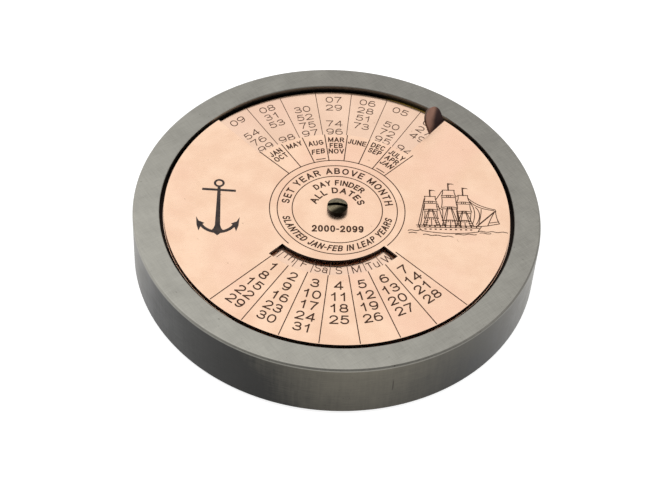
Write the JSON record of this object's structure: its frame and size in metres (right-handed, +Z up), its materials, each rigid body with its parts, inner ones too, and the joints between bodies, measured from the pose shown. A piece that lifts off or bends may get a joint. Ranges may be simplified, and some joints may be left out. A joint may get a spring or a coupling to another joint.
{
  "type": "perpetual calendar paperweight",
  "caption": "Round desk calendar: a heavy turned case with a shallow recess, a fixed disc of years and weekdays, and a turning dial plate with two windows and a bent-up finger tab.",
  "frame": {"origin": "centre of the felt pad's underside, on the axis of the case and of the screw", "axes": "+Z up along the axis that the dial plate turns about, +Y from the screw towards the year window at rest, +X to the right of the dial"},
  "size_m": [0.075, 0.075, 0.0159],
  "materials": {
    "gunmetal_brass": "antique gunmetal patina over turned brass, finely brushed on the rim",
    "satin_copper": "satin copper sheet with etched, dark-filled figures",
    "polished_copper": "bright lacquered copper sheet with etched, dark-filled lettering",
    "aged_brass": "dark aged brass",
    "bare_brass": "turned brass",
    "spring_steel": "satin spring steel",
    "dark_etching": "matt dark brown filler in the etched lettering",
    "felt": "matt black wool felt"
  },
  "bodies": {
    "base": {"case": "gunmetal_brass", "felt_pad": "felt", "year_disc": "satin_copper", "locating_pin": "bare_brass", "pivot_bush": "bare_brass", "spring_washer": "spring_steel", "pivot_screw": "aged_brass"},
    "dial": {"dial_plate": "polished_copper"}
  },
  "joints": [
    {"name": "dial_turn", "type": "hinge", "parent": "base", "child": "dial", "pos_m": [0, 0, 0.01185], "axis": [0, 0, 1], "continuous": true}
  ]
}
